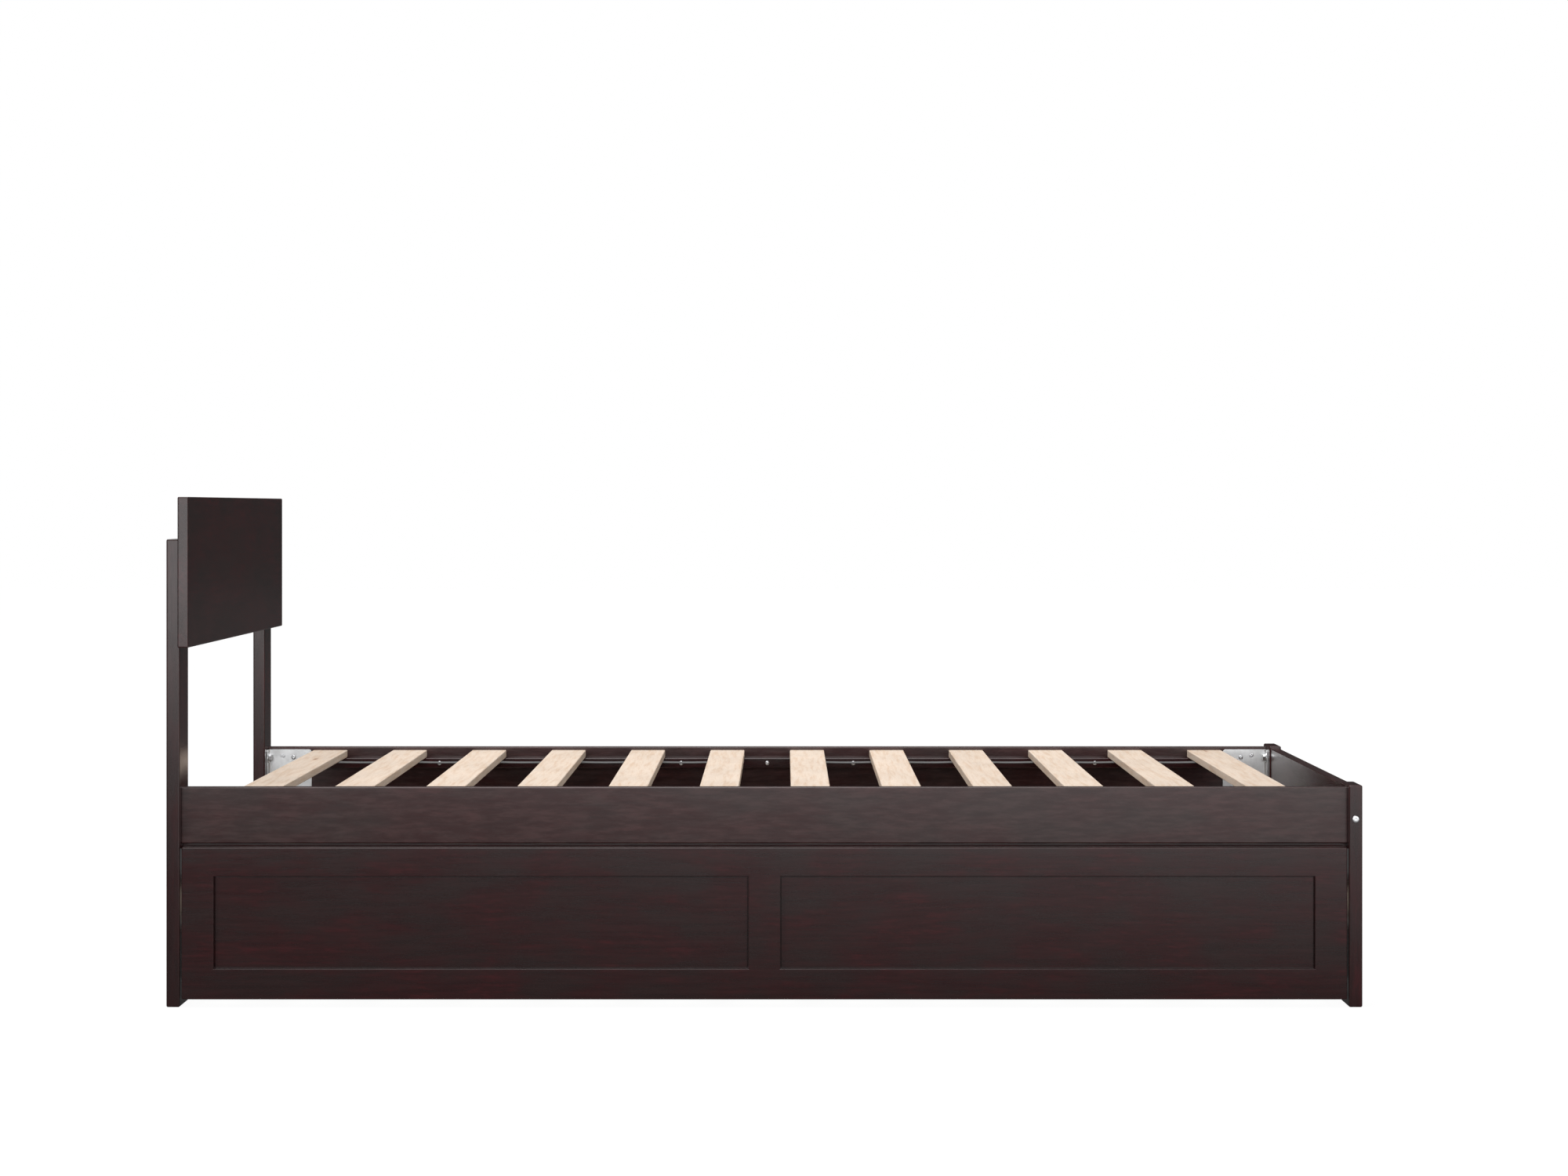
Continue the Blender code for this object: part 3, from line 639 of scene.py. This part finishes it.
bracketLook = {"thick": 0.0020, "bend": 0.0028, "corner": 0.0060, "ease": 0.00035,
               "flatHole": (0.030, 0.013), "panHole": (0.052, 0.0165), "holeRadius": 0.00375,
               "washer": 0.0110, "boltHex": 0.0062, "boltDrop": 0.0165}


def buildBrackets():
    look = bracketLook
    thick = look["thick"]
    for end, along in ends.items():
        for side, across in sides.items():
            node = f"bracket_{end}_{side}"
            lo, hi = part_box(node)
            corner = Vector((lo.x if along < 0 else hi.x, lo.y if across < 0 else hi.y, 0))
            length, flange = hi.x - lo.x, hi.y - lo.y
            inner = look["bend"] - thick + 0.0012
            outline = ([(length, 0), (length, thick)]
                       + arc((thick + inner, thick + inner), inner, 270, 180)
                       + [(thick, flange), (0, flange)]
                       + arc((0.0018, 0.0018), 0.0018, 180, 270))
            outline = [(corner.x - along * a, corner.y - across * b) for a, b in outline]
            shape = extruded(outline, lo.z, hi.z, "Z")
            free = []
            for edge in shape.edges:
                one, two = (vert.co for vert in edge.verts)
                level = abs(one.z - two.z) < 1e-6 and (one - two).length < thick * 1.01
                outer = (abs(abs(one.x - corner.x) - length) < 1e-6 and abs(one.x - two.x) < 1e-6
                         or abs(abs(one.y - corner.y) - flange) < 1e-6 and abs(one.y - two.y) < 1e-6)
                if level and outer:
                    free.append(edge)
            bmesh.ops.bevel(shape, geom=free, offset=look["corner"], offset_type="OFFSET", segments=6,
                            profile=0.5, affect="EDGES")
            easeEdges(shape, look["ease"], 2)
            face = corner.y - across * thick
            inward, outward = (0, -across, 0), (-along, 0, 0)
            holes, screws = [], []
            hole = look["holeRadius"]
            for kind in ("flatHole", "panHole"):
                out, drop = look[kind]
                for height in (lo.z + drop, hi.z - drop):
                    place = Vector((corner.x - along * out, face, height))
                    if kind == "flatHole":
                        cone = [(-0.004, 0), (-0.004, hole * 0.6), (-thick, hole * 0.7), (0, hole * 1.25),
                                (0.002, hole * 1.25), (0.002, 0)]
                        screws.append(flatHead(place - Vector(inward) * 0.0002, inward, hole * 1.15))
                    else:
                        cone = [(-0.004, 0), (-0.004, hole * 0.6), (0.002, hole * 0.6), (0.002, 0)]
                        screws.append(panHead(place + Vector(inward) * 0.0001, inward, hole * 1.25))
                    holes.append(turned(cone, place, inward))
            seat = corner.x - along * thick
            bolts = []
            for height in (lo.z + look["boltDrop"], hi.z - look["boltDrop"]):
                place = (seat - along * 0.0001, corner.y - across * (thick + look["washer"] + 0.0008), height)
                washer, size = look["washer"], look["boltHex"]
                profile = [(0, 0), (0, washer), (0.0012, washer), (0.0016, washer * 0.96),
                           (0.0016, size * 1.25), (0.0022, size, "hex"), (0.0062, size, "hex"),
                           (0.0070, size * 0.90), (0.0070, 0)]
                bolts.append(turned(profile, place, outward, 24, dice.uniform(0, 1)))
            shape = combine(shape, holes, "DIFFERENCE")
            makePiece(f"{node}_plate", shape, zincSteel, "bed", [node], 32)
            makePiece(f"{node}_screws", joined(screws), screwSteel, "bed")
            makePiece(f"{node}_bolts", joined(bolts), screwSteel, "bed", (), 32)


frontLook = {"outerRounding": 0.0026, "recessRounding": 0.0012, "segments": 4, "channel": 0.0018,
             "channelDepth": 0.0028}


def buildFront():
    look = frontLook
    stiles = {end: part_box("front_stile_" + end) for end in ends}
    midLo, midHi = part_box("front_mullion")
    lowLo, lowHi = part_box("front_bottom_rail")
    topLo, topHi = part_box("front_top_rail")
    xs = [stiles["head"][0].x, stiles["head"][1].x, midLo.x, midHi.x, stiles["foot"][0].x,
          stiles["foot"][1].x]
    zs = [lowLo.z, lowHi.z, topLo.z, topHi.z]
    face, back = lowLo.y, lowHi.y
    holes = {(1, 1), (3, 1)}  # grid cells left open for the panels
    shape = blankShape()
    points = {}

    def corner(i, k, y):
        if (i, k, y) not in points:
            points[i, k, y] = shape.verts.new((xs[i], y, zs[k]))
        return points[i, k, y]

    solid = {(i, k) for i in range(5) for k in range(3)} - holes
    for i, k in solid:
        for y in (face, back):
            shape.faces.new([corner(i, k, y), corner(i + 1, k, y), corner(i + 1, k + 1, y),
                             corner(i, k + 1, y)])
        walls = {(i - 1, k): ((i, k), (i, k + 1)), (i + 1, k): ((i + 1, k), (i + 1, k + 1)),
                 (i, k - 1): ((i, k), (i + 1, k)), (i, k + 1): ((i, k + 1), (i + 1, k + 1))}
        for beside, (one, two) in walls.items():
            if beside not in solid:
                shape.faces.new([corner(*one, face), corner(*two, face), corner(*two, back),
                                 corner(*one, back)])
    bmesh.ops.recalc_face_normals(shape, faces=shape.faces[:])
    outer, recess = [], []
    for edge in shape.edges:
        if edge.calc_face_angle(0) < 0.5:
            continue
        middle = (edge.verts[0].co + edge.verts[1].co) / 2
        rim = min(middle.x - xs[0], xs[-1] - middle.x, middle.z - zs[0], zs[-1] - middle.z) < 1e-5
        if rim:
            outer.append(edge)
        elif abs(middle.y - face) < 1e-6:
            recess.append(edge)
    for edges, size in ((outer, look["outerRounding"]), (recess, look["recessRounding"])):
        bmesh.ops.bevel(shape, geom=[edge for edge in edges if edge.is_valid], offset=size,
                        offset_type="OFFSET", segments=look["segments"], profile=0.5, affect="EDGES")
    grooves = []
    for end in ends:
        lo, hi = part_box("front_panel_" + end)
        grooves.append(plainBoard(lo - Vector((gap,) * 3), hi + Vector((gap,) * 3)))
        left, right = (xs[1], xs[2]) if end == "head" else (xs[3], xs[4])
        margin = look["channel"]
        field = plainBoard((left + margin, lo.y, zs[1] + margin),
                           (right - margin, hi.y, zs[2] - margin), 0.0004, 2)
        tongue = plainBoard(lo + Vector((0, look["channelDepth"], 0)), hi, 0.0003, 1)
        panel = combine(tongue, [field], "UNION")
        markHighlightEdges(panel, lo, hi, 0.0006, 0)
        makePiece(f"front_panel_{end}_board", panel, stained["X"], "trundle",
                  ["front_panel_" + end])
    shape = combine(shape, grooves, "DIFFERENCE")
    away = 0.05
    regions = {"front_stile_head": (xs[0] - away, xs[1], zs[0] - away, zs[3] + away),
               "front_stile_foot": (xs[4], xs[5] + away, zs[0] - away, zs[3] + away),
               "front_bottom_rail": (xs[1], xs[4], zs[0] - away, zs[1]),
               "front_top_rail": (xs[1], xs[4], zs[2], zs[3] + away),
               "front_mullion": (xs[2], xs[3], zs[1], zs[2])}
    for node, (left, right, low, high) in regions.items():
        block = plainBoard((left, face - away, low), (right, back + away, high))
        member = combine(shape.copy(), [block], "INTERSECT")
        # the edge mask peaks on the roundings and drives the painted edge highlight
        edge = member.verts.layers.float["edgeMask"]
        for vert in member.verts:
            rim = min(vert.co.x - xs[0], xs[-1] - vert.co.x, vert.co.z - zs[0], zs[-1] - vert.co.z)
            size = look["outerRounding"] if rim < look["outerRounding"] else look["recessRounding"]
            part = min(1.0, (vert.co.y - face) / size)
            vert[edge] = max(0.0, 4 * part * (1 - part))
        makePiece(node + "_board", member, stained["X"], "trundle", [node])
    shape.free()


boxLook = {"rounding": 0.0020, "screwRadius": 0.0040, "screwRows": (0.020, 0.0425, 0.065),
           "frontScrews": (-0.80, -0.40, 0.0, 0.40, 0.80), "frontScrewHeight": 0.070,
           "cleatScrews": (-0.9, -0.6, -0.3, 0.0, 0.3, 0.6, 0.9), "cleatScrewRadius": 0.0038}


def buildBox():
    look = boxLook
    grain = {"front_board": "X", "back_board": "X", "end_board_head": "Y", "end_board_foot": "Y",
             "cleat_front": "X", "cleat_rear": "X"}
    for label, axis in grain.items():
        node = "trundle_" + label
        lo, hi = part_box(node)
        makePiece(node + "_wood", board(lo, hi, look["rounding"]), stained[axis], "trundle",
                  [node])
    backLo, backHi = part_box("trundle_back_board")
    frontLo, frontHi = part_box("trundle_front_board")
    endLo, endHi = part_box("trundle_end_board_foot")
    reach = (endLo.x + endHi.x) / 2
    screws = [flatHead((along * reach, backHi.y + 0.0001, backLo.z + height), (0, 1, 0), look["screwRadius"])
              for along in (-1, 1) for height in look["screwRows"]]
    height = frontLo.z + look["frontScrewHeight"]
    for x in look["frontScrews"]:
        screws.append(flatHead((x, frontHi.y + 0.0001, height), (0, 1, 0), look["screwRadius"]))
    makePiece("box_screws", joined(screws), screwSteel, "trundle")
    for side, across in sides.items():
        lo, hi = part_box("trundle_cleat_" + side)
        face = hi.y if across < 0 else lo.y
        heads = [panHead((x, face, (lo.z + hi.z) / 2), (0, -across, 0), look["cleatScrewRadius"])
                 for x in look["cleatScrews"]]
        makePiece("box_cleat_screws_" + side, joined(heads), screwSteel, "trundle")


def buildTrundleSlats():
    slatLo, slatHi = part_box("slat_01")
    width, thick = slatHi.x - slatLo.x, slatHi.z - slatLo.z
    perRoll = slatLook["count"] // 2
    strapLo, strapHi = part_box("slat_strap_head_front")
    strapWide, strapThick = strapHi.y - strapLo.y, strapHi.z - strapLo.z
    inset = strapLo.y - slatLo.y + strapWide / 2
    for end in ends:
        node = "trundle_slat_roll_" + end
        lo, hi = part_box(node)
        pitch = (hi.x - lo.x - width) / (perRoll - 1)
        spans = [(lo.x + pitch * number, lo.x + pitch * number + width) for number in range(perRoll)]
        bottom = hi.z - thick
        names = [f"trundle_slat_{end}_{number}" for number in range(1, perRoll + 1)]
        slatSet(names, spans, Vector((0, lo.y, bottom)), Vector((0, hi.y, hi.z)), "trundle",
                [node] * perRoll)
        for side, across in sides.items():
            middle = (lo.y + inset) if across < 0 else (hi.y - inset)
            low = Vector((lo.x + 0.003, middle - strapWide / 2, bottom - gap - strapThick))
            high = Vector((hi.x - 0.003, middle + strapWide / 2, bottom - gap))
            makePiece(f"trundle_strap_{end}_{side}", strapShape(low, high, spans), strapCloth, "trundle",
                      [node])
            staples = [stapleShape((one + two) / 2 + aside, middle, low.z - 0.0001)
                       for one, two in spans for aside in slatLook["staplePlaces"]]
            makePiece(f"trundle_staples_{end}_{side}", joined(staples), zincSteel, "trundle")


casterLook = {"wall": 0.0030, "corner": 0.0100, "ease": 0.0006, "rib": 0.0012, "tread": 0.0050,
              "hubDish": 0.0035, "spokes": 6, "rivet": 0.0042, "wheelBore": 0.00315,
              "ribPlaces": (-0.017, 0.017)}


def wheelShapes(lo, hi):
    look = casterLook
    centre = (lo + hi) / 2
    radius, half = (hi.z - lo.z) / 2, (hi.x - lo.x) / 2
    rim = radius - look["tread"]
    bore = look["wheelBore"]
    tread = turned([(-half + 0.0005, rim), (-half, rim + 0.0005), (-half, radius - 0.0026),
                    (-half + 0.0009, radius - 0.0008), (-half + 0.0026, radius), (-0.0030, radius),
                    (-0.0022, radius - 0.0006), (0.0022, radius - 0.0006), (0.0030, radius),
                    (half - 0.0026, radius), (half - 0.0009, radius - 0.0008), (half, radius - 0.0026),
                    (half, rim + 0.0005), (half - 0.0005, rim), (-half + 0.0005, rim)],
                   centre, (1, 0, 0), 64)
    dish = look["hubDish"]
    inner = rim - 0.0002
    hub = turned([(-half + 0.0006, inner), (-half + 0.0006, inner - 0.0030), (-half + dish, inner - 0.0036),
                  (-half + dish, 0.0085), (-half + 0.0004, 0.0078), (-half + 0.0004, bore),
                  (half - 0.0004, bore), (half - 0.0004, 0.0078), (half - dish, 0.0085),
                  (half - dish, inner - 0.0036), (half - 0.0006, inner - 0.0030), (half - 0.0006, inner),
                  (-half + 0.0006, inner)], centre, (1, 0, 0), 64)
    spokes = []
    for number in range(look["spokes"]):
        for face in (-1, 1):
            deep, shallow = face * (half - dish - 0.0004), face * (half - 0.0012)
            spoke = plainBoard((min(deep, shallow), -0.0010, 0.0080),
                               (max(deep, shallow), 0.0010, inner - 0.0031), 0.0003, 1)
            spoke.transform(Matrix.Translation(centre)
                            @ Matrix.Rotation(math.tau * number / look["spokes"], 4, "X"))
            spokes.append(spoke)
    return tread, joined([hub, *spokes])


def housingShape(lo, hi, axle, outward):
    look = casterLook
    wall, corner = look["wall"], look["corner"]
    low, high = lo.z, hi.z
    cheek = ([(lo.y, high), (lo.y, low + corner)]
             + arc((lo.y + corner, low + corner), corner, 180, 270, 6)
             + arc((hi.y - corner, low + corner), corner, 270, 360, 6) + [(hi.y, high)])
    cheek = [point for index, point in enumerate(cheek) if index == 0
             or (Vector(point) - Vector(cheek[index - 1])).length > 1e-6]
    block = extruded(cheek, lo.x, hi.x, "X")
    roof = high - wall
    room = plainBoard((lo.x + wall, lo.y - 0.01, low - 0.01), (hi.x - wall, hi.y + 0.01, roof))
    bore = turned([(-0.05, 0), (-0.05, 0.00325), (0.05, 0.00325), (0.05, 0)], axle, (1, 0, 0))
    shape = easeEdges(combine(block, [room], "DIFFERENCE"), look["ease"], 2, 60)
    shape = combine(shape, [bore], "DIFFERENCE")
    inner = hi.x if outward < 0 else lo.x
    boss = turned([(-0.0005, 0), (-0.0005, 0.0072), (0.0004, 0.0070), (0.0010, 0.0064), (0.0010, 0.0034),
                   (0.0004, 0.0034), (0.0004, 0)], (inner, axle.y, axle.z), (-outward, 0, 0), 32)
    ribs = []
    for offset in look["ribPlaces"]:
        thick = look["rib"] / 2
        near, far = inner + outward * 0.0003, inner - outward * 0.0010
        ribs.append(plainBoard((min(near, far), axle.y + offset - thick, axle.z + 0.004),
                               (max(near, far), axle.y + offset + thick, roof + 0.001), 0.0003, 1))
    return joined([shape, boss, *ribs])


def buildCasters():
    for side in sides:
        for end, along in ends.items():
            label = f"{side}_{end}"
            lo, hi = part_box("caster_wheel_" + label)
            tread, hub = wheelShapes(lo, hi)
            body = "wheel_" + label
            makePiece("wheel_tread_" + label, tread, casterTread, body,
                      ["caster_wheel_" + label], 40)
            makePiece("wheel_hub_" + label, hub, casterHub, body,
                      ["caster_wheel_" + label], 40)
            axleLo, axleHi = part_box("caster_axle_" + label)
            axle = (axleLo + axleHi) / 2
            half, thick = (axleHi.x - axleLo.x) / 2, (axleHi.z - axleLo.z) / 2
            pin = turned([(-half, 0), (-half, thick * 0.7), (-half + 0.0006, thick), (half - 0.0006, thick),
                          (half, thick * 0.7), (half, 0)], axle, (1, 0, 0))
            tip = axle + Vector((-along * half, 0, 0))
            cap = turned([(-0.0008, 0), (-0.0008, casterLook["rivet"]), (0.0002, casterLook["rivet"] * 0.92),
                          (0.0008, casterLook["rivet"] * 0.6), (0.0010, 0)], tip, (-along, 0, 0))
            makePiece("wheel_axle_" + label, joined([pin, cap]), screwSteel, "trundle",
                      ["caster_axle_" + label])
            houseLo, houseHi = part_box("caster_housing_" + label)
            makePiece("wheel_housing_" + label, housingShape(houseLo, houseHi, axle, along), casterPlastic,
                      "trundle", ["caster_housing_" + label], 40)


buildPosts()
buildFootRail()
buildSideRails()
print("posts and rails built")
buildSlats()
buildBrackets()
print("slats and brackets built")
buildFront()
buildBox()
buildTrundleSlats()
buildCasters()
print("trundle built")


floorLook = {"glow": 0.955, "shade": 0.10, "size": 60.0, "near": 0.06, "left": 0.0, "right": 0.21,
             "farStart": 4.0, "farRise": 0.21, "most": 1.6}  # the bounce grows with distance in front


def buildFloor():
    look = floorLook
    shape = blankShape()
    half = look["size"] / 2
    shape.faces.new([shape.verts.new((x, y, -0.0004)) for x, y in
                     ((-half, -half), (half, -half), (half, half), (-half, half))])
    mesh = bpy.data.meshes.new("floor")
    shape.to_mesh(mesh)
    shape.free()
    material, tree, shader = newMaterial("paleFloor", Roughness=1.0, Specular_IOR_Level=0.0,
                                         Base_Color=(look["shade"],) * 3 + (1,),
                                         Emission_Color=(1, 1, 1, 1))
    seen = addNode(tree, "LightPath").outputs["Is Camera Ray"]
    place = addNode(tree, "TexCoord").outputs["Object"]
    axes = addNode(tree, "SeparateXYZ", {0: place}).outputs
    reach = addNode(tree, "VectorMath", {0: place}, operation="LENGTH").outputs["Value"]
    glow = remap(tree, reach, 2.0, 7.0, look["glow"], 1.0)
    ahead = calc(tree, "MAXIMUM", calc(tree, "SUBTRACT", -0.5, axes[1]), 0.0)
    slope = remap(tree, axes[0], -1.6, 1.8, look["left"], look["right"])
    bounce = calc(tree, "ADD", calc(tree, "MULTIPLY", ahead, slope), look["near"])
    beyond = calc(tree, "MAXIMUM", calc(tree, "SUBTRACT", ahead, look["farStart"]), 0.0)
    far = calc(tree, "MULTIPLY", beyond, look["farRise"])
    bounce = calc(tree, "MINIMUM", calc(tree, "ADD", bounce, far), look["most"])
    mixed = addNode(tree, "Mix", {0: seen, 2: bounce, 3: glow}, data_type="FLOAT").outputs[0]
    tree.links.new(mixed, shader.inputs["Emission Strength"])
    mesh.materials.append(material)
    floor = bpy.data.objects.new("floor", mesh)
    bpy.context.scene.collection.objects.link(floor)


lightLook = {
    "frontWall": {"place": (1.2, -7.4, 1.85), "aim": (1.2, 0, 1.85), "size": (9.0, 3.0), "watts": 245},
    "overhead": {"place": (-0.3, 0.3, 3.6), "aim": (-0.1, 0.1, 0.0), "size": (4.6, 3.6), "watts": 175},
    "key": {"place": (3.4, -4.2, 3.2), "aim": (0.2, 0, 0.3), "size": (2.0, 2.0), "watts": 20},
    "leftFill": {"place": (-4.2, -4.6, 1.8), "aim": (0, 0, 0.2), "size": (1.2, 1.6), "watts": 55},
}
worldLook = {"shown": 1.0, "ambient": 0.042}
cameraLook = {"place": (0.0346, -6.459, 0.8797), "lens": 77.3, "shift": -0.0511}


def buildStage():
    for name, look in lightLook.items():
        light = bpy.data.lights.new(name, "AREA")
        light.shape = "RECTANGLE"
        light.size, light.size_y = look["size"]
        light.energy = look["watts"]
        lamp = bpy.data.objects.new(name, light)
        lamp.location = look["place"]
        toward = Vector(look["aim"]) - Vector(look["place"])
        lamp.rotation_euler = toward.to_track_quat("-Z", "Y").to_euler()
        lamp.visible_camera = False
        bpy.context.scene.collection.objects.link(lamp)
    world = bpy.data.worlds.new("studio")
    world.use_nodes = True
    bpy.context.scene.world = world
    tree = world.node_tree
    seen = addNode(tree, "LightPath").outputs["Is Camera Ray"]
    back = tree.nodes["Background"]
    back.inputs["Color"].default_value = (1, 1, 1, 1)
    strength = addNode(tree, "MapRange", {"Value": seen, "To Min": worldLook["ambient"],
                                          "To Max": worldLook["shown"]}).outputs[0]
    tree.links.new(strength, back.inputs["Strength"])
    bpy.context.scene.view_settings.view_transform = "Standard"
    data = bpy.data.cameras.new("camera")
    data.lens, data.sensor_width, data.shift_y = cameraLook["lens"], 36.0, cameraLook["shift"]
    camera = bpy.data.objects.new("camera", data)
    camera.location = cameraLook["place"]
    camera.rotation_euler = (math.pi / 2, 0, 0)
    bpy.context.scene.collection.objects.link(camera)
    bpy.context.scene.camera = camera


buildFloor()
buildStage()
print("stage built")
